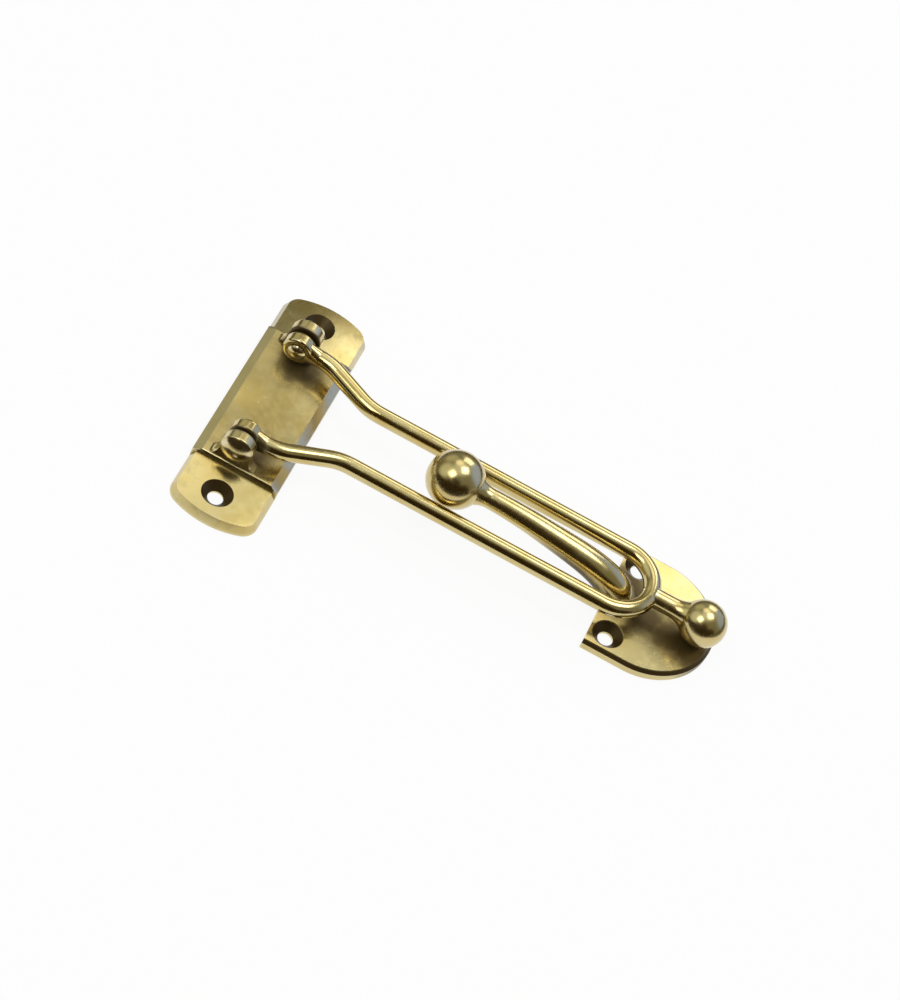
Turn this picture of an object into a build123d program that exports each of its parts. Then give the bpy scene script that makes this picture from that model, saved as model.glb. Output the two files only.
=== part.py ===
from build123d import *
import os
from math import cos, radians, sin, sqrt

# Swing-bar door guard in brass: a hinged loop of round rod that slides over a ball-ended keeper.
# The origin is the centre of the hinge plate's back face. +X runs along the closed bar towards
# its knob, +Y runs along the hinge axis and +Z points away from the door. All sizes are in mm.

# Screw holes, the same in both plates
screw_hole_radius = 2.15
countersink_radius = 4.4
countersink_angle = 90

# Rounding allowed for when edges are picked out by their radius
radius_tolerance = 0.0001

# Hinge plate, screwed to the door frame
hinge_plate_width = 25.0
hinge_plate_length = 84.6
flange_thickness = 2.8
block_thickness = 4.6
end_bow_radius = 24.0
plate_corner_radius = 5.0
rim_width = 2.4
rim_depth = 1.2
block_edge_radius = 0.8
hinge_screw_spacing = 67.0
hinge_screw_offset = -0.9

# Pivot axis, which runs along Y at the height that lets the knob clear the keeper plate
pivot_offset = -2.0
knob_clearance = 0.3

# Lugs, cast with the plate, which carry the pivot pins
lug_inner_gap = 40.8
lug_thickness = 3.6
lug_radius = 4.6
lug_flare_radius = 4.0
lug_edge_radius = 0.6

# Pivot pins, riveted through the lugs
pin_radius = 1.6
pin_head_radius = 4.3
pin_head_height = 1.7
pin_tail_radius = 2.5
pin_tail_height = 1.3
rivet_clearance = 0.02
eye_clearance = 0.08
bar_side_clearance = 0.5
pin_tail_clearance = 0.2

# Swing bar, bent from one round rod with its ends forged into flat eyes
rod_radius = 2.4
slot_spacing = 20.2
bar_reach = 112.3
splay_angle = 26.0
splay_radius = 14.0
eye_radius = 4.3
eye_thickness = 3.8
eye_edge_radius = 0.9
eye_neck_length = 6.0
eye_neck_height = 3.4

# Knob, turned and riveted into the closed end of the loop
knob_stem = 15.7
knob_radius = 6.5
knob_neck_radius = 2.7
knob_flare_length = 4.0
knob_flare_radius = 3.8
knob_spigot_radius = 1.3
knob_spigot_recess = 0.2
knob_saddle_overlap = 1.4

# Keeper plate, screwed to the door, with a square front edge and a round far end
keeper_setback = 7.7
keeper_plate_width = 37.6
keeper_plate_length = 31.2
keeper_plate_thickness = 3.0
keeper_rim = 1.0
keeper_screw_spacing = 25.6
keeper_screw_inset = 5.1

# Keeper arm, a horn that leaves the plate at its front edge and ends in a ball
ball_overhang = 0.3
arm_span = 53.1
ball_seat_clearance = 0.3
arm_tip_radius = 2.8
arm_root_radius = 4.8
arm_root_length = 4.1
arm_root_lean = 59.0
arm_root_trim = 1.0
arm_bend_span = 21.0
arm_bend_drop = 1.9
arm_taper_power = 1.3
arm_stations = 8
arm_tenon_radius = 2.5
arm_tenon_recess = 0.4
collar_radius = 6.4
collar_length = 5.6

# Places that follow from the sizes above
pivot_height = keeper_plate_thickness + knob_clearance + knob_radius
lug_inner_face = lug_inner_gap / 2
lug_outer_face = lug_inner_face + lug_thickness
block_half_length = lug_outer_face + block_edge_radius
eye_centre = lug_inner_face - bar_side_clearance - rod_radius
eye_inner_face = eye_centre - eye_thickness / 2
slot_half = slot_spacing / 2
loop_apex = pivot_offset + bar_reach
loop_centre = loop_apex - slot_half
knob_centre = loop_apex + knob_stem
keeper_front = loop_apex - rod_radius - keeper_setback
keeper_top = keeper_plate_thickness
keeper_round_centre = keeper_front + keeper_plate_length - keeper_plate_width / 2
keeper_screw_x = keeper_front + keeper_screw_inset
arm_root_x = keeper_front + arm_root_length
ball_centre = arm_root_x - arm_span
ball_radius = slot_half - rod_radius + ball_overhang
ball_gap = ball_radius + rod_radius + ball_seat_clearance
ball_height = pivot_height + sqrt(ball_gap**2 - slot_half**2)
head_dome_radius = (pin_head_radius**2 + pin_head_height**2) / (2 * pin_head_height)
tail_dome_radius = (pin_tail_radius**2 + pin_tail_height**2) / (2 * pin_tail_height)


# Hinge plate: two thin flanges with bowed ends, a raised block between them and two lugs
with BuildPart() as hinge_plate:
    half_width = hinge_plate_width / 2
    half_length = hinge_plate_length / 2
    corner_y = half_length - end_bow_radius + sqrt(end_bow_radius**2 - half_width**2)
    with BuildSketch() as flange_outline:
        with BuildLine():
            Line((-half_width, -corner_y), (-half_width, corner_y))
            ThreePointArc((-half_width, corner_y), (0, half_length), (half_width, corner_y))
            Line((half_width, corner_y), (half_width, -corner_y))
            ThreePointArc((half_width, -corner_y), (0, -half_length), (-half_width, -corner_y))
        make_face()
        fillet(flange_outline.vertices(), plate_corner_radius)
    extrude(amount=flange_thickness)
    chamfer(
        hinge_plate.faces().sort_by(Axis.Z)[-1].outer_wire().edges(),
        length=rim_depth,
        length2=rim_width,
        reference=hinge_plate.faces().sort_by(Axis.Z)[-1],
    )

    # Raised block, with the same bevelled rim along its two sides
    with BuildSketch(Plane.XZ) as block_section:
        with BuildLine():
            Polyline(
                (-half_width, 0),
                (-half_width, block_thickness - rim_depth),
                (-half_width + rim_width, block_thickness),
                (half_width - rim_width, block_thickness),
                (half_width, block_thickness - rim_depth),
                (half_width, 0),
                close=True,
            )
        make_face()
    extrude(amount=block_half_length, both=True)
    block_ends = (
        hinge_plate.edges()
        .filter_by(Axis.X)
        .filter_by_position(Axis.Z, block_thickness, block_thickness)
    )
    fillet(block_ends, block_edge_radius)

    # Lugs: rounded at the top, with sides that flare into the block
    flare_height = block_thickness + lug_flare_radius - lug_edge_radius
    flare_reach = lug_radius + lug_flare_radius
    for side in (1, -1):
        with BuildSketch(Plane.XZ.offset(-side * lug_inner_face)) as lug_section:
            with BuildLine():
                CenterArc((pivot_offset, pivot_height), lug_radius, 0, 180)
                for flank in (1, -1):
                    Line(
                        (pivot_offset + flank * lug_radius, pivot_height),
                        (pivot_offset + flank * lug_radius, flare_height),
                    )
                    CenterArc(
                        (pivot_offset + flank * flare_reach, flare_height),
                        lug_flare_radius,
                        270,
                        -90 * flank,
                    )
                Line(
                    (pivot_offset - flare_reach, flare_height - lug_flare_radius),
                    (pivot_offset + flare_reach, flare_height - lug_flare_radius),
                )
            make_face()
        extrude(amount=-side * lug_thickness)
    lug_rims = (
        hinge_plate.edges()
        .filter_by(GeomType.CIRCLE)
        .filter_by(lambda e: abs(e.radius - lug_radius) < radius_tolerance)
    )
    fillet(lug_rims, lug_edge_radius)
    with Locations((pivot_offset, 0, pivot_height)):
        Cylinder(
            pin_radius + rivet_clearance,
            2 * block_half_length,
            rotation=(90, 0, 0),
            mode=Mode.SUBTRACT,
        )
    for side in (1, -1):
        with Locations((hinge_screw_offset, side * hinge_screw_spacing / 2, flange_thickness)):
            CounterSinkHole(screw_hole_radius, countersink_radius, counter_sink_angle=countersink_angle)

hinge_plate.part.label = "hinge_plate"


# Pivot pins: a domed head outside each lug and a small peened tail inside each eye
pivot_pins = {}
for name, side in (("pivot_pin_left", 1), ("pivot_pin_right", -1)):
    with BuildPart() as pin:
        tail_face = eye_inner_face - pin_tail_clearance
        with BuildSketch(Plane.YZ.offset(pivot_offset)) as pin_section:
            with BuildLine():
                head_tip = (side * (lug_outer_face + pin_head_height), pivot_height)
                head_rim = (side * lug_outer_face, pivot_height + pin_head_radius)
                head_root = (side * lug_outer_face, pivot_height + pin_radius)
                tail_root = (side * tail_face, pivot_height + pin_radius)
                tail_rim = (side * tail_face, pivot_height + pin_tail_radius)
                tail_tip = (side * (tail_face - pin_tail_height), pivot_height)
                RadiusArc(head_tip, head_rim, -side * head_dome_radius)
                Polyline(head_rim, head_root, tail_root, tail_rim)
                RadiusArc(tail_rim, tail_tip, -side * tail_dome_radius)
                Line(tail_tip, head_tip)
            make_face()
        revolve(axis=Axis((pivot_offset, 0, pivot_height), (0, 1, 0)))
    pin.part.label = name
    pivot_pins[name] = pin.part


# Swing bar: one half is bent and forged along its leg, then mirrored across the slot
with BuildPart() as swing_bar:
    splay = radians(splay_angle)
    eye_neck_end = pivot_offset + eye_neck_length
    splay_offset = eye_centre - slot_half
    splay_run = (splay_offset - 2 * splay_radius * (1 - cos(splay))) / sin(splay)
    with BuildLine(Plane.XY.offset(pivot_height)) as leg:
        outer_bend = JernArc((eye_neck_end, eye_centre), (1, 0), splay_radius, -splay_angle)
        slant = PolarLine(outer_bend @ 1, splay_run, direction=outer_bend % 1)
        inner_bend = JernArc(slant @ 1, slant % 1, splay_radius, splay_angle)
        straight = Line(inner_bend @ 1, (loop_centre, slot_half))
        CenterArc((loop_centre, 0), slot_half, 90, -90)
    with BuildSketch(Plane.YZ.offset(eye_neck_end)) as rod_section:
        with Locations((eye_centre, pivot_height)):
            Circle(rod_radius)
    sweep(path=leg.wires()[0])

    # Eye, with the rod drawn out flat and tall where it runs into it
    with Locations((pivot_offset, eye_centre, pivot_height)):
        Cylinder(eye_radius, eye_thickness, rotation=(90, 0, 0))
    eye_rims = (
        swing_bar.edges()
        .filter_by(GeomType.CIRCLE)
        .filter_by(lambda e: abs(e.radius - eye_radius) < radius_tolerance)
    )
    fillet(eye_rims, eye_edge_radius)
    with BuildSketch(Plane.YZ.offset(pivot_offset + eye_radius / 2)) as neck_root:
        with Locations((eye_centre, pivot_height)):
            Ellipse(eye_thickness / 2, eye_neck_height)
    with BuildSketch(Plane.YZ.offset(eye_neck_end)) as neck_end:
        with Locations((eye_centre, pivot_height)):
            Circle(rod_radius)
    loft()
    with Locations((pivot_offset, eye_centre, pivot_height)):
        Cylinder(
            pin_radius + eye_clearance,
            2 * eye_thickness,
            rotation=(90, 0, 0),
            mode=Mode.SUBTRACT,
        )
    mirror(about=Plane.XZ)

    # Hole through the closed end for the knob's spigot
    with Locations((loop_apex, 0, pivot_height)):
        Cylinder(
            knob_spigot_radius + rivet_clearance,
            3 * rod_radius,
            rotation=(0, 90, 0),
            mode=Mode.SUBTRACT,
        )

swing_bar.part.label = "swing_bar"


# Knob: a ball on a flared neck, saddled over the closed end of the loop and riveted through it
with BuildPart() as knob:
    neck_start = loop_apex + rod_radius - knob_saddle_overlap
    flare_end = knob_centre - sqrt(knob_radius**2 - knob_flare_radius**2)
    flare_start = flare_end - knob_flare_length
    with BuildSketch(Plane.XZ) as neck_section:
        with BuildLine():
            neck_foot = (neck_start, pivot_height)
            neck_rim = (neck_start, pivot_height + knob_neck_radius)
            flare_foot = (flare_start, pivot_height + knob_neck_radius)
            flare_rim = (flare_end, pivot_height + knob_flare_radius)
            Polyline(neck_foot, neck_rim, flare_foot)
            TangentArc(flare_foot, flare_rim, tangent=(1, 0))
            Polyline(flare_rim, (knob_centre, pivot_height), neck_foot)
        make_face()
    revolve(axis=Axis((0, 0, pivot_height), (1, 0, 0)))
    with Locations((knob_centre, 0, pivot_height)):
        Sphere(knob_radius)
    with Locations((loop_centre, 0, pivot_height)):
        Torus(slot_half, rod_radius + rivet_clearance, mode=Mode.SUBTRACT)
    spigot_length = flare_start - loop_apex + rod_radius - knob_spigot_recess
    with Locations((flare_start - spigot_length / 2, 0, pivot_height)):
        Cylinder(knob_spigot_radius, spigot_length, rotation=(0, 90, 0))

knob.part.label = "knob"


# Keeper plate: D-shaped, bevelled round its sides and far end but square along its front edge
with BuildPart() as keeper_plate:
    half_width = keeper_plate_width / 2
    far_end = keeper_front + keeper_plate_length
    with BuildSketch() as keeper_outline:
        with BuildLine():
            Line((keeper_round_centre, half_width), (keeper_front, half_width))
            Line((keeper_front, half_width), (keeper_front, -half_width))
            Line((keeper_front, -half_width), (keeper_round_centre, -half_width))
            ThreePointArc((keeper_round_centre, -half_width), (far_end, 0), (keeper_round_centre, half_width))
        make_face()
    extrude(amount=keeper_plate_thickness)
    top_edges = keeper_plate.faces().sort_by(Axis.Z)[-1].outer_wire().edges()
    chamfer(top_edges.sort_by(Axis.X)[1:], keeper_rim)
    with Locations((arm_root_x, 0, keeper_top)):
        Hole(arm_tenon_radius + rivet_clearance)
    for side in (1, -1):
        with Locations((keeper_screw_x, side * keeper_screw_spacing / 2, keeper_top)):
            CounterSinkHole(screw_hole_radius, countersink_radius, counter_sink_angle=countersink_angle)

keeper_plate.part.label = "keeper_plate"


# Keeper arm: a tapering horn, a collar that flares up to the ball, and a tenon into the plate
with BuildPart() as keeper_arm:
    collar_end = ball_centre + sqrt(ball_radius**2 - collar_radius**2)
    arm_tip = collar_end + collar_length
    with BuildLine(Plane.XZ) as arm_line:
        arm_curve = Spline(
            (arm_root_x, keeper_top - arm_root_trim),
            (arm_root_x - arm_bend_span, ball_height - arm_bend_drop),
            (arm_tip, ball_height),
            tangents=[(-cos(radians(arm_root_lean)), sin(radians(arm_root_lean))), (-1, 0)],
        )
    with BuildSketch(Plane.XY.offset(keeper_top - arm_root_trim)) as root_section:
        with Locations((arm_root_x, 0)):
            Ellipse(arm_root_length, arm_root_radius)
    for station in range(1, arm_stations + 1):
        share = station / arm_stations
        taper = (arm_root_radius - arm_tip_radius) * (1 - share) ** arm_taper_power
        with BuildSketch(Plane(origin=arm_curve @ share, z_dir=arm_curve % share)) as arm_section:
            Circle(arm_tip_radius + taper)
    loft()
    split(bisect_by=Plane.XY.offset(keeper_top), keep=Keep.TOP)
    with Locations((arm_root_x, 0, arm_tenon_recess)):
        Cylinder(
            arm_tenon_radius,
            2 * keeper_top - arm_tenon_recess,
            align=(Align.CENTER, Align.CENTER, Align.MIN),
        )
    with BuildSketch(Plane.XZ) as collar_section:
        with BuildLine():
            collar_foot = (arm_tip, ball_height + arm_tip_radius)
            collar_rim = (collar_end, ball_height + collar_radius)
            Line((arm_tip, ball_height), collar_foot)
            TangentArc(collar_foot, collar_rim, tangent=(-1, 0))
            Polyline(collar_rim, (ball_centre, ball_height), (arm_tip, ball_height))
        make_face()
    revolve(axis=Axis((0, 0, ball_height), (1, 0, 0)))
    with Locations((ball_centre, 0, ball_height)):
        Sphere(ball_radius)

keeper_arm.part.label = "keeper_arm"


os.makedirs("parts", exist_ok=True)
export_step(hinge_plate.part, "parts/hinge_plate.step")
for name, pin_part in pivot_pins.items():
    export_step(pin_part, f"parts/{name}.step")
export_step(swing_bar.part, "parts/swing_bar.step")
export_step(knob.part, "parts/knob.step")
export_step(keeper_plate.part, "parts/keeper_plate.step")
export_step(keeper_arm.part, "parts/keeper_arm.step")
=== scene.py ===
# %% [markdown]
# # A brass swing-bar door guard
# The object is cast, turned and bent brass, polished and then lacquered. Its shape is already right, so
# this lesson is about light and finish: how polished metal is shown by what it reflects, and how small
# changes of colour, gloss and height keep it from looking like plastic. All lengths are in metres.

from math import cos, radians, sin

import bpy
from mathutils import Matrix, Vector


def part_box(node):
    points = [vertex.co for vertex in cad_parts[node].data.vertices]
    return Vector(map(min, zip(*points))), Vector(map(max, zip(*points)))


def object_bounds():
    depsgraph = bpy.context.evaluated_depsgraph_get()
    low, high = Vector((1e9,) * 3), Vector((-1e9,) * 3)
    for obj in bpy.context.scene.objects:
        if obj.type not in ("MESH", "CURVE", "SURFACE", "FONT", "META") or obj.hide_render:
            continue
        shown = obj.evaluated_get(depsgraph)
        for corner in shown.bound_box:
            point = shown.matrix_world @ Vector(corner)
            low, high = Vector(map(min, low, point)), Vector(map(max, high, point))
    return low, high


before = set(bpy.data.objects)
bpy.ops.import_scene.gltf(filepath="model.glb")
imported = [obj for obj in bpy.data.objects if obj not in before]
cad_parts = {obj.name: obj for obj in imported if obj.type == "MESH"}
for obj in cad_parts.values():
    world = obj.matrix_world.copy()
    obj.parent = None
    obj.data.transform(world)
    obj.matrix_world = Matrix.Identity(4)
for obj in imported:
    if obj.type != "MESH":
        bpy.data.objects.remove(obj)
cad_low, cad_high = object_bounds()
print("pieces of the frame:", sorted(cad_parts))
print("size in mm:", [round(1000 * side, 1) for side in cad_high - cad_low])

# %% [markdown]
# ## The camera
# The camera looks down on the guard from its long side. Its height and distance were found by laying the
# plates, the rods and both balls over the picture. A direction towards the camera and a roll about that
# direction say the whole turn of the camera, so those are what the cell starts from.

# %% Camera
camera_place = Vector((0.060966, -0.626711, 0.742324))
camera_target = Vector((0.052329, 0.004256, 0.0))
camera_roll = radians(28.926)
picture_height = 1000
focal_pixels = 3684.61
sensor_size = 36.0

towards_camera = (camera_place - camera_target).normalized()
level_right = Vector((0, 1, 0)).cross(towards_camera).normalized()
level_up = towards_camera.cross(level_right)
camera_right = level_right * cos(camera_roll) + level_up * sin(camera_roll)
camera_up = level_up * cos(camera_roll) - level_right * sin(camera_roll)

camera = bpy.data.objects.new("camera", bpy.data.cameras.new("camera"))
bpy.context.scene.collection.objects.link(camera)
turn = Matrix((camera_right, camera_up, towards_camera)).transposed().to_4x4()
camera.matrix_world = Matrix.Translation(camera_place) @ turn
camera.data.sensor_width = sensor_size
camera.data.lens = focal_pixels * sensor_size / picture_height
camera.data.clip_start = 0.01
camera.data.clip_end = 50.0
bpy.context.scene.camera = camera
print("lens in mm:", round(camera.data.lens, 1))

# %% [markdown]
# ## Writing shaders as sums
# A shader is a graph of small nodes. Written by hand it is long, so two small classes help. `Value`
# wraps an output and turns `+`, `-` and `*` into Math nodes, also when the plain number comes first, as
# in `1 - mask`. `Shader` owns a node tree and makes every other node with one method.

# %% Two helpers for shaders
class Value:
    """An output of a node, which the usual signs of arithmetic work on."""

    def __init__(self, shader, socket):
        self.shader = shader
        self.socket = socket

    def math(self, operation, *inputs):
        return self.shader.node("ShaderNodeMath", {"operation": operation}, dict(enumerate(inputs)))

    def __add__(self, other):
        return self.math("ADD", self, other)

    def __sub__(self, other):
        return self.math("SUBTRACT", self, other)

    def __rsub__(self, other):
        return self.math("SUBTRACT", other, self)

    def __mul__(self, other):
        return self.math("MULTIPLY", self, other)

    __radd__ = __add__
    __rmul__ = __mul__

    def larger(self, other):
        """This value or the other, whichever is larger."""
        return self.math("MAXIMUM", self, other)

    def unsigned(self):
        """This value without its sign."""
        return self.math("ABSOLUTE", self)

    def also(self, output):
        """Another output of the same node."""
        return Value(self.shader, self.socket.node.outputs[output])


class Shader:
    """A node tree, with one method that makes any node in it."""

    def __init__(self, owner):
        owner.use_nodes = True
        self.tree = owner.node_tree
        self.tree.nodes.clear()

    def node(self, kind, settings=None, inputs=None, output=0):
        """Any node: its type, its settings, and the numbers or values that go into its sockets."""
        made = self.tree.nodes.new(kind)
        for name, setting in (settings or {}).items():
            setattr(made, name, setting)
        for name, given in (inputs or {}).items():
            if isinstance(given, Value):
                self.tree.links.new(given.socket, made.inputs[name])
            else:
                made.inputs[name].default_value = given
        return Value(self, made.outputs[output]) if made.outputs else made

    def smooth(self, value, low, high, bottom=0.0, top=1.0):
        """A soft step: bottom where value is under low, top where it is over high."""
        settings = {"interpolation_type": "SMOOTHSTEP"}
        inputs = {"Value": value, "From Min": low, "From Max": high, "To Min": bottom, "To Max": top}
        return self.node("ShaderNodeMapRange", settings, inputs)

    def blend(self, mask, first, second):
        """A colour that goes from first to second as mask goes from 0 to 1."""
        settings = {"data_type": "RGBA"}
        # A Mix node keeps its colour inputs at 6 and 7 and its colour output at 2
        return self.node("ShaderNodeMix", settings, {0: mask, 6: first, 7: second}, output=2)

    def parts(self, vector):
        """The X, Y and Z of a vector."""
        x = self.node("ShaderNodeSeparateXYZ", inputs={0: vector}, output="X")
        return x, x.also("Y"), x.also("Z")


print("shader helpers are ready")

# %% [markdown]
# ## What the metal sees
# Polished metal has hardly any colour of its own to show: it tints what it reflects. The two balls are
# small round mirrors, and they show the room: bright overhead and on the left, bluish daylight on the
# right, dim walls all round, and darkness on the photographer's side. A picture of a room could be
# wrapped round the guard, but soft patches of light are easier to place and to change, so the world is
# built of those.

# %% World
world = bpy.data.worlds.new("studio")
bpy.context.scene.world = world
room = Shader(world)
direction = room.node("ShaderNodeTexCoord", output="Generated")


def facing(towards, low, high):
    """0 far from the direction towards, 1 close to it; low and high are cosines."""
    across = room.node(
        "ShaderNodeVectorMath",
        {"operation": "DOT_PRODUCT"},
        {0: direction, 1: Vector(towards).normalized()},
        output="Value",
    )
    return room.smooth(across, low, high)


print("the room's helper is ready")

# %% [markdown]
# ## Patches of light and dark
# The walls are dim, and low down a pale backdrop stands round the table. Every patch is laid over what
# is there already, so their order counts: where two of them meet, the later one shows.

# %% The room's patches
wall_tone = (0.25, 0.245, 0.19, 1)
backdrop_tone = (0.86, 0.86, 0.84, 1)
ceiling_tone = (0.74, 0.78, 0.80, 1)
cream_tone = (1.60, 1.54, 1.34, 1)
left_tone = (0.74, 0.78, 0.70, 1)
daylight_tone = (0.46, 0.58, 1.05, 1)
corner_tone = (0.56, 0.56, 0.42, 1)
dark_tone = (0.05, 0.03, 0.008, 1)

# Where each patch is, the cosine at which it begins, the cosine from which it is full, and its tone
patches = [
    ((0.76, 0.56, 0.34), 0.78, 0.95, daylight_tone),
    ((0.0, -0.90, 0.43), 0.80, 0.93, dark_tone),
    ((0.70, -0.70, 0.20), 0.88, 0.97, dark_tone),
    ((-0.78, -0.20, 0.62), 0.84, 0.97, left_tone),
    ((0.0, 0.14, 0.99), 0.83, 0.96, ceiling_tone),
    ((-0.22, 0.46, 0.86), 0.961, 0.994, cream_tone),
    ((-0.62, 0.60, 0.50), 0.93, 0.985, corner_tone),
]
backdrop_top = 0.12  # the sine of its height above the horizon

_, _, elevation = room.parts(direction)
low_down = room.smooth(elevation, 0.0, backdrop_top, 1.0, 0.0)
room_colour = room.blend(low_down, wall_tone, backdrop_tone)
for towards, begins, full, tone in patches:
    room_colour = room.blend(facing(towards, begins, full), room_colour, tone)
print("patches in the room:", len(patches))

# %% [markdown]
# ## Who sees the room
# Mirror rays see the room, and so would rays through glass. The camera sees plain white past the edge of
# the table, and the light that falls on the table comes from an even grey, so that no patch tints it.

# %% Join the room to the world
white = (1, 1, 1, 1)
even_grey = (0.55, 0.55, 0.55, 1)

camera_ray = room.node("ShaderNodeLightPath", output="Is Camera Ray")
mirror_or_glass = camera_ray.also("Is Glossy Ray") + camera_ray.also("Is Transmission Ray")
lit_by = room.blend(mirror_or_glass, even_grey, room_colour)
room_seen = room.blend(camera_ray, lit_by, white)
background = room.node("ShaderNodeBackground", inputs={"Color": room_seen, "Strength": 1.0})
room.node("ShaderNodeOutputWorld", inputs={"Surface": background})
print("world nodes:", len(room.tree.nodes))

# %% [markdown]
# ## The lamps
# Two square lamps hang almost overhead, close together, and give each ball its pair of cream highlights.
# A third one, wide and low behind the guard, is the window that shines on the far ends of the plates. A
# lamp's place is written as the direction that it shines from, which can be worked out from its
# highlight on a ball, and its distance from the middle of the guard.

# %% Lamps
guard_centre = (cad_low + cad_high) / 2


def hang_lamp(name, towards, distance, size, power):
    """A square lamp that shines on the guard from the direction towards."""
    lamp = bpy.data.lights.new(name, "AREA")
    lamp.shape = "SQUARE"
    lamp.size = size
    lamp.energy = power
    lamp_object = bpy.data.objects.new(name, lamp)
    bpy.context.scene.collection.objects.link(lamp_object)
    away = Vector(towards).normalized()
    lamp_object.location = guard_centre + away * distance
    lamp_object.rotation_euler = away.to_track_quat("Z", "Y").to_euler()
    lamp_object.visible_camera = False
    print(name, "at", [round(part, 2) for part in lamp_object.location])


hang_lamp("left_lamp", towards=(-0.36, -0.40, 0.84), distance=1.2, size=0.50, power=2.6)
hang_lamp("right_lamp", towards=(0.24, 0.16, 0.96), distance=1.2, size=0.50, power=2.8)
hang_lamp("window", towards=(0.13, 0.80, 0.56), distance=1.6, size=0.7, power=3.2)

# %% [markdown]
# ## The table
# The guard lies on a white table. Its material mixes an ordinary matt white, which takes shadows, with a
# plain white glow that only the camera, mirrors and glass see. The glow makes the table as white as the
# page of a catalogue, also where the brass mirrors it, without any more light on the brass.

# %% The table's top
table_half = 4.0
table_gap = 0.0001  # keeps the two flat faces apart
square = [(-1, -1), (1, -1), (1, 1), (-1, 1)]

table_mesh = bpy.data.meshes.new("table")
table_corners = [(x * table_half, y * table_half, cad_low.z - table_gap) for x, y in square]
table_mesh.from_pydata(table_corners, [], [(0, 1, 2, 3)])
table = bpy.data.objects.new("table", table_mesh)
bpy.context.scene.collection.objects.link(table)
print("table side in m:", 2 * table_half)

# %% The table's paint
table_glow = 0.92
table_white = (0.88, 0.88, 0.87, 1)

table_finish = bpy.data.materials.new("table_white")
matt = Shader(table_finish)
camera_ray = matt.node("ShaderNodeLightPath", output="Is Camera Ray")
seen = camera_ray + camera_ray.also("Is Glossy Ray") + camera_ray.also("Is Transmission Ray")
shadowed = matt.node("ShaderNodeBsdfDiffuse", inputs={"Color": table_white})
glowing = matt.node("ShaderNodeEmission", inputs={"Color": white, "Strength": 1.0})
surface = matt.node("ShaderNodeMixShader", inputs={0: seen * table_glow, 1: shadowed, 2: glowing})
matt.node("ShaderNodeOutputMaterial", inputs={"Surface": surface})
table_mesh.materials.append(table_finish)
print("table glow:", table_glow)

# %% [markdown]
# ## Dark cards
# Bright metal in a white room looks like grey plastic, because nothing dark is mirrored in it. A
# photographer stands dark cards round it, just outside the picture, and each rod and ball gets the dark
# line that draws its shape. Only mirror rays see these cards, so they cast no shadow on the table. The
# left one stands far out, because the bar reaches over there when it is swung right round.

# %% A card
def stand_card(name, start, end, height, tone):
    """An upright card between two points on the floor, which only mirror rays see."""
    mesh = bpy.data.meshes.new(name)
    foot = cad_low.z
    low = [(x, y, foot) for x, y in (start, end)]
    high = [(x, y, foot + height) for x, y in (end, start)]
    mesh.from_pydata(low + high, [], [(0, 1, 2, 3)])
    card = bpy.data.objects.new(name, mesh)
    bpy.context.scene.collection.objects.link(card)
    card.visible_camera = False
    card.visible_diffuse = False
    card.visible_shadow = False
    paint = bpy.data.materials.new(name)
    shade = Shader(paint)
    matt_paint = shade.node("ShaderNodeBsdfDiffuse", inputs={"Color": tone})
    shade.node("ShaderNodeOutputMaterial", inputs={"Surface": matt_paint})
    mesh.materials.append(paint)
    print(name, "is", round(1000 * height), "mm high")


print("a card can be stood up")

# %% Four cards
left, right = cad_low.x - 0.16, cad_high.x + 0.06
near, far = cad_low.y - 0.022, cad_high.y + 0.05
stand_card("near_card", (left, near), (right, near), height=0.052, tone=(0.04, 0.025, 0.008, 1))
stand_card("far_card", (right, far), (left, far), height=0.030, tone=(0.18, 0.16, 0.10, 1))
stand_card("left_card", (left, far), (left, near), height=0.055, tone=(0.20, 0.17, 0.10, 1))
stand_card("right_card", (right, near), (right, far), height=0.022, tone=(0.16, 0.16, 0.15, 1))

# %% [markdown]
# ## The colours of old brass
# All seven pieces are one alloy. Where it is polished it is a bright, slightly green yellow, in some
# places warmer and in others more olive. Rubbed edges are paler. The dark brown is painted shade, laid
# in corners, in gaps and under things. One colour from end to end would look like paint, so the finish
# wanders between these five.

# %% Tones of brass
bright_brass = (0.61, 0.50, 0.225, 1)
warm_brass = (0.57, 0.44, 0.16, 1)
olive_brass = (0.50, 0.45, 0.20, 1)
pale_brass = (0.86, 0.79, 0.56, 1)
# painted shade: a dark brown that stands in for the shade in corners, in gaps and under things
painted_shade_brown = (0.07, 0.042, 0.008, 1)
print("polished brass is", bright_brass[:3])

# %% [markdown]
# ## Patterns and corners
# Clouds of colour, mottling, tool marks and the faint orange peel of lacquer are all one kind of noise
# at different scales. Tool marks are noise that is squeezed across the tool's path. Corners and edges
# are found by how much of the piece's own surface lies close by: in front of a point that is in a
# corner, and behind a point that is near an edge.

# %% Patterns and corners
def noise(metal, place, seed, scale, detail, stretch=(1, 1, 1), offset=0.0):
    """Soft noise with about scale waves to the metre; stretch multiplies them along X, Y and Z."""
    settings = {"operation": "MULTIPLY_ADD"}
    inputs = {0: place, 1: stretch, 2: (seed + offset, seed - offset, seed * 0.7)}
    where = metal.node("ShaderNodeVectorMath", settings, inputs)
    settings = {"noise_dimensions": "3D"}
    inputs = {"Vector": where, "Scale": scale, "Detail": detail, "Roughness": 0.55}
    return metal.node("ShaderNodeTexNoise", settings, inputs)


def openness(metal, reach, inside):
    """1 in the open, falling towards 0 where the same piece lies within reach."""
    settings = {"inside": inside, "only_local": True, "samples": 8}
    return metal.node("ShaderNodeAmbientOcclusion", settings, {"Distance": reach}, output="AO")


print("patterns are ready")
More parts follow.
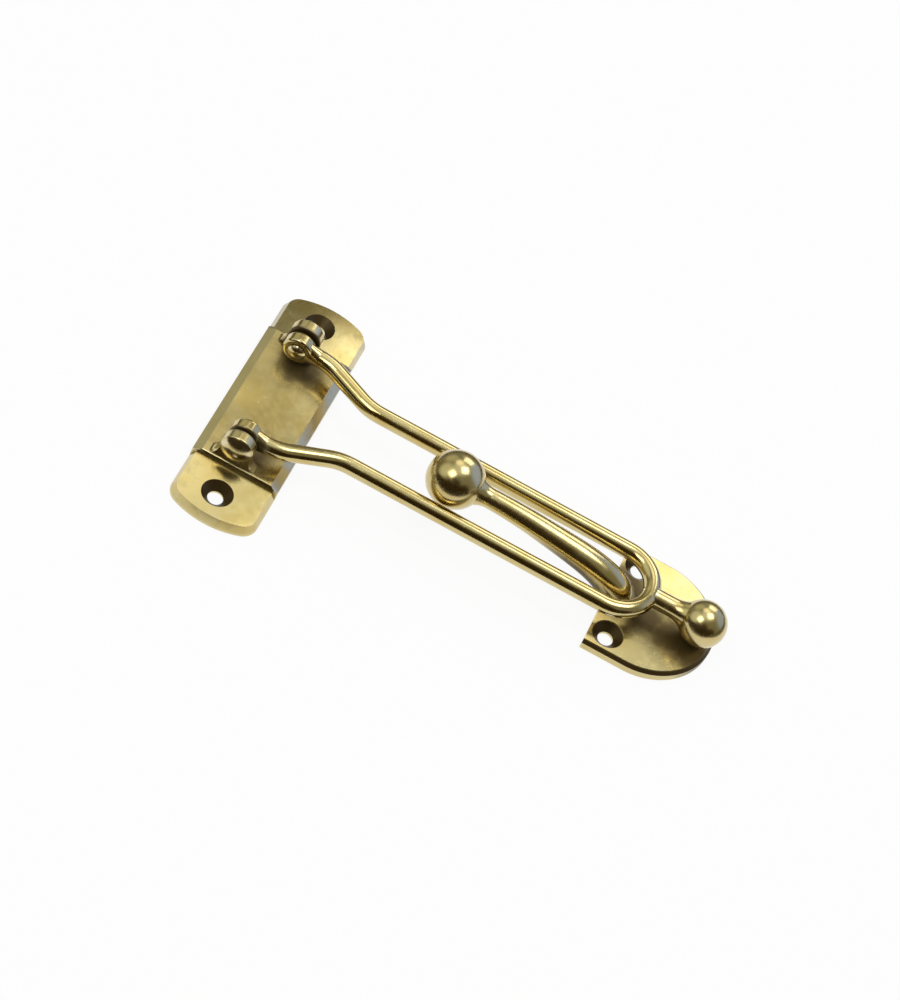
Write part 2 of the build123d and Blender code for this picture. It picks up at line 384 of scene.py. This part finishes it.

# %% [markdown]
# ## Painted shade in gaps and under things
# The guard was polished by hand, and its brass is darkened with painted shade in the thin gaps beside
# the eyes of the bar, under the arm near its root, in the countersinks, and on the plates under the eyes
# and the knob. It could be painted on as a picture for each piece, but then each piece has to be
# unwrapped first. Here each patch is a mask that is worked out from where a point lies and which way it
# faces.
# Mottling is added to most of them, which makes the edge of the painted shade ragged.

# %% Painted shade in the gaps and under the arm
hinge_gap_y = 0.0199  # how far the gaps are from the middle of the hinge, on both sides
gap_core, gap_reach = 0.0007, 0.0016
gap_shaded_x, gap_unshaded_x = 0.0035, 0.0060
gap_unshaded_z, gap_shaded_z = 0.0044, 0.0052
arm_unshaded_x, arm_shaded_x = 0.072, 0.090


def shade_in_gaps(metal, place, mottle):
    """Painted shade between the lugs and the eyes of the bar."""
    x, y, z = metal.parts(place)
    off_gap = (y.unsigned() - hinge_gap_y) + (mottle - 0.5) * 0.0008
    gap_shade = metal.smooth(off_gap.unsigned(), gap_core, gap_reach, 0.95, 0.0)
    gap_shade = gap_shade * metal.smooth(x, gap_shaded_x, gap_unshaded_x, 1.0, 0.0)
    return gap_shade * metal.smooth(z, gap_unshaded_z, gap_shaded_z)


def shade_under_arm(metal, place, mottle):
    """Painted shade on the side of the arm that looks down, from its middle to its root."""
    x, _, _ = metal.parts(place)
    _, _, upright = metal.parts(place.also("Normal"))
    downward = metal.smooth(upright + (mottle - 0.5) * 0.4, -0.20, 0.40, 0.95, 0.0)
    return downward * metal.smooth(x, arm_unshaded_x, arm_shaded_x)


print("gaps are", 1000 * hinge_gap_y, "mm from the middle")

# %% Painted shade on the plates
sink_low_z, sink_high_z = 0.0027, 0.0031
shade_core, shade_reach = 0.003, 0.010


def shade_on_plate(metal, place, mottle, upright, plate):
    """Painted shade in the countersinks and round the spots under the eyes or the knob."""
    _, _, z = metal.parts(place)
    cone = metal.smooth(upright, 0.60, 0.66) * metal.smooth(upright, 0.76, 0.82, 1.0, 0.0)
    plate_shade = cone * metal.smooth(z, sink_low_z, sink_high_z, 1.0, 0.0)
    raised = metal.smooth(z, plate["unshaded_below"], plate["unshaded_below"] + 0.0004)
    for spot in plate["shaded_spots"]:
        inputs = {0: place, 1: spot}
        away = metal.node("ShaderNodeVectorMath", {"operation": "DISTANCE"}, inputs, output="Value")
        ragged = away + (mottle - 0.5) * 0.004
        plate_shade = plate_shade.larger(metal.smooth(ragged, shade_core, shade_reach, 0.90, 0.0) * raised)
    return plate_shade


print("painted shade reaches", 1000 * shade_reach, "mm from a spot")

# %% [markdown]
# ## The form of a cast plate
# A plate that was cast and then rubbed by hand isn't quite flat: it is crowned a little, and its ends
# lean outward. That is taken as the reason why both plates brighten and darken along their length in the
# photograph. The CAD shape stays as it is, and only the bump gets this form. Bevels are worn matt, and
# on the hinge plate pale too. The material knows them by the tilt of their faces.

# %% Crown and bevels
crown_curve = 2.6  # the fall over the square of the distance, so 1 mm at 20 mm from the middle


def crown_of(metal, place, plate):
    """How far the plate falls from its middle line, and past the flat half-length towards its ends."""
    x, y, _ = metal.parts(place)
    across = x - plate["centre"]
    beyond = (y.unsigned() - plate["flat_half"]).larger(0.0)
    return across * across * -crown_curve - beyond * beyond * plate["fall"] - beyond * plate["lean"]


def bevel_of(metal, upright):
    """1 on faces that are tilted as the bevels are."""
    return metal.smooth(upright, 0.80, 0.86) * metal.smooth(upright, 0.92, 0.96, 1.0, 0.0)


print("crown at 10 mm from the middle, in mm:", round(1000 * crown_curve * 0.010**2, 2))

# %% [markdown]
# ## The colour and the surface of brass
# The colour is laid down in this order: the alloy with its clouds, olive mottling where it has aged,
# painted shade in the corners, and last the pale edges that rubbing has bared. The surface is a sum of
# heights. They are in metres, which keeps the bumps as small as they really are.

# %% Colour and surface
clouds, mottles, peels, waves = 110, 420, 900, 45  # to the metre
corner_reach, edge_reach = 0.0035, 0.0012
olive_share = 0.45
edge_wear = 0.45
mark_height = 0.0000006
peel_height = 0.0000010


def aged_and_shaded_colour(metal, place, seed, mottle):
    """The colour of the brass, and the mask of the painted shade in its corners."""
    cloud = noise(metal, place, seed, clouds, 3.0)
    # painted shade: the brass darkens where its own surface lies close in front of it, as in corners
    corner = metal.smooth(openness(metal, corner_reach, False), 0.25, 0.85, 1.0, 0.0)
    edge = metal.smooth(openness(metal, edge_reach, True), 0.35, 0.80, 1.0, 0.0)
    shaded = corner * metal.smooth(mottle, 0.25, 0.65, 0.45, 0.95)
    colour = metal.blend(metal.smooth(cloud, 0.38, 0.66), bright_brass, warm_brass)
    colour = metal.blend(metal.smooth(mottle, 0.50, 0.75) * olive_share, colour, olive_brass)
    colour = metal.blend(shaded, colour, painted_shade_brown)
    return metal.blend(edge * edge_wear, colour, pale_brass), shaded


def paint_shade(metal, colour, shaded, patch):
    """The colour with one more patch of painted shade on it, and the mask of all the painted shade so
    far.
    """
    return metal.blend(patch, colour, painted_shade_brown), shaded.larger(patch)


def surface_height(metal, place, seed, marks, waviness):
    """Long waves, tool marks and orange peel."""
    wave = noise(metal, place, seed, waves, 1.0, offset=11.0)
    peel = noise(metal, place, seed, peels, 2.0, offset=7.0)
    return wave * waviness + marks * mark_height + peel * peel_height


print("tool marks are", round(1e6 * mark_height, 2), "micrometres high")

# %% [markdown]
# ## Brass
# Each piece was finished by another tool: the plates were cast and rubbed, the rod was drawn and bent,
# the balls were turned in a lathe. Seven materials written out in full would drift apart, so one
# function makes the brass, and each piece says which way its tool marks run and how glossy and wavy it
# is. Clear lacquer lies over the metal and is nearly gone where shade is painted on.

# %% Brass
def brass(name, grain, gloss, waviness, seed, plate=None, hinged=False, rooted=False):
    """Lacquered brass. grain is how often the tool marks repeat along X, Y and Z, per metre."""
    material = bpy.data.materials.new(name)
    metal = Shader(material)
    place = metal.node("ShaderNodeTexCoord", output="Object")
    mottle = noise(metal, place, seed, mottles, 4.0, offset=3.0)
    marks = noise(metal, place, seed, 1.0, 2.0, stretch=grain, offset=5.0)

    colour, shaded = aged_and_shaded_colour(metal, place, seed, mottle)
    relief = surface_height(metal, place, seed, marks, waviness)
    rough = gloss + 0.10 * (marks - 0.5) + 0.10 * metal.smooth(mottle, 0.45, 0.80)
    # painted shade in the gaps of the hinge and under the arm, and on the plates round their spots and
    # countersinks
    if hinged:
        colour, shaded = paint_shade(metal, colour, shaded, shade_in_gaps(metal, place, mottle))
    if rooted:
        colour, shaded = paint_shade(metal, colour, shaded, shade_under_arm(metal, place, mottle))
    if plate:
        _, _, upright = metal.parts(place.also("Normal"))
        bevel = bevel_of(metal, upright)
        colour = metal.blend(bevel * plate["bevel_wear"], colour, pale_brass)
        colour, shaded = paint_shade(metal, colour, shaded, shade_on_plate(metal, place, mottle, upright, plate))
        relief = relief + crown_of(metal, place, plate)
        rough = rough + bevel * 0.10

    bump = metal.node("ShaderNodeBump", inputs={"Height": relief, "Distance": 1.0, "Strength": 1.0})
    # where shade is painted, the metal is also rougher and less metallic, and has less lacquer
    inputs = {
        "Base Color": colour,
        "Roughness": rough + 0.20 * shaded,
        "Normal": bump,
        "Metallic": 1 - shaded * 0.40,
        "Coat Weight": 0.55 - 0.50 * shaded,
        "Coat Roughness": 0.07,
    }
    shell = metal.node("ShaderNodeBsdfPrincipled", inputs=inputs)
    metal.node("ShaderNodeOutputMaterial", inputs={"Surface": shell})
    print(name, "has", len(metal.tree.nodes), "nodes")
    return material


print("brass can be made")

# %% [markdown]
# ## The two plates
# Both plates are crowned across X. Along Y the hinge plate is flat in its middle and falls away at its
# ends, and the keeper plate is crowned that way too. Painted shade lies under the eyes of the bar on the
# one, and in a trail under the knob on the other. Both were matched to the photograph. Each
# plate's numbers are kept together, so the function that makes brass needn't know which plate it has.

# %% What each plate is like
hinge_low, hinge_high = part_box("hinge_plate")
keeper_low, keeper_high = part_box("keeper_plate")
# spots of painted shade on the hinge plate, under the eyes of the bar
eye_spots = [(0.001, side * 0.0165, 0.0046) for side in (-1, 1)]
hinge_shape = {
    "centre": (hinge_low[0] + hinge_high[0]) / 2,
    "flat_half": 0.024,
    "fall": 1.0,
    "lean": 0.15,
    "bevel_wear": 0.25,
    "shaded_spots": eye_spots,
    "unshaded_below": 0.0036,
}
# a trail of painted shadow on the keeper plate, under the knob
trail = [(0.104, 0.0), (0.104, 0.005), (0.112, -0.002), (0.120, -0.004), (0.127, -0.005)]
knob_spots = [(x, y, 0.003) for x, y in trail]
keeper_shape = {
    "centre": (keeper_low[0] + keeper_high[0]) / 2,
    "flat_half": 0.0,
    "fall": 3.0,
    "lean": 0.0,
    "bevel_wear": 0.0,
    "shaded_spots": knob_spots,
    "unshaded_below": 0.0,
}
for shape in (hinge_shape, keeper_shape):
    print("middle of the plate in mm:", round(1000 * shape["centre"], 2))

# %% [markdown]
# ## Every piece gets its brass
# The hinge plate was rubbed along its length and the keeper plate towards its round end. The rod was
# drawn along its own length, and the arm, the knob and the pins were turned, so their marks run round
# them. The marks repeat thousands of times to the metre across the tool's path, and far less often along
# it. Each piece has its own seed, or else the same cloud would run on from one piece to the next.

# %% Give every piece its brass
fine = 5200
turned = (4200, 200, 200)
round_the_pin = (900, fine, 900)
finishes = {
    "hinge_plate": brass(
        "rubbed_plate_brass",
        (fine, 240, fine),
        gloss=0.19,
        waviness=0.0004,
        seed=1.3,
        plate=hinge_shape,
        hinged=True,
    ),
    "keeper_plate": brass(
        "rubbed_keeper_brass",
        (260, fine, fine),
        gloss=0.18,
        waviness=0.0004,
        seed=2.9,
        plate=keeper_shape,
    ),
    "swing_bar": brass("drawn_bar_brass", (160, fine, fine), 0.14, 0.00002, seed=4.1, hinged=True),
    "keeper_arm": brass("turned_arm_brass", turned, 0.20, 0.00004, seed=5.7, rooted=True),
    "knob": brass("turned_knob_brass", turned, 0.21, 0.00002, seed=6.6),
    "pivot_pin_left": brass("pin_brass_left", round_the_pin, 0.20, 0.00002, seed=7.2, hinged=True),
    "pivot_pin_right": brass("pin_brass_right", round_the_pin, 0.20, 0.00002, seed=8.8, hinged=True),
}
for name, finish in finishes.items():
    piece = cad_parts[name]
    piece.data.materials.clear()
    piece.data.materials.append(finish)
print("pieces in brass:", len(finishes))

# %% [markdown]
# The Standard view shows a colour as it is written.

# %% Close
bpy.context.scene.view_settings.view_transform = "Standard"
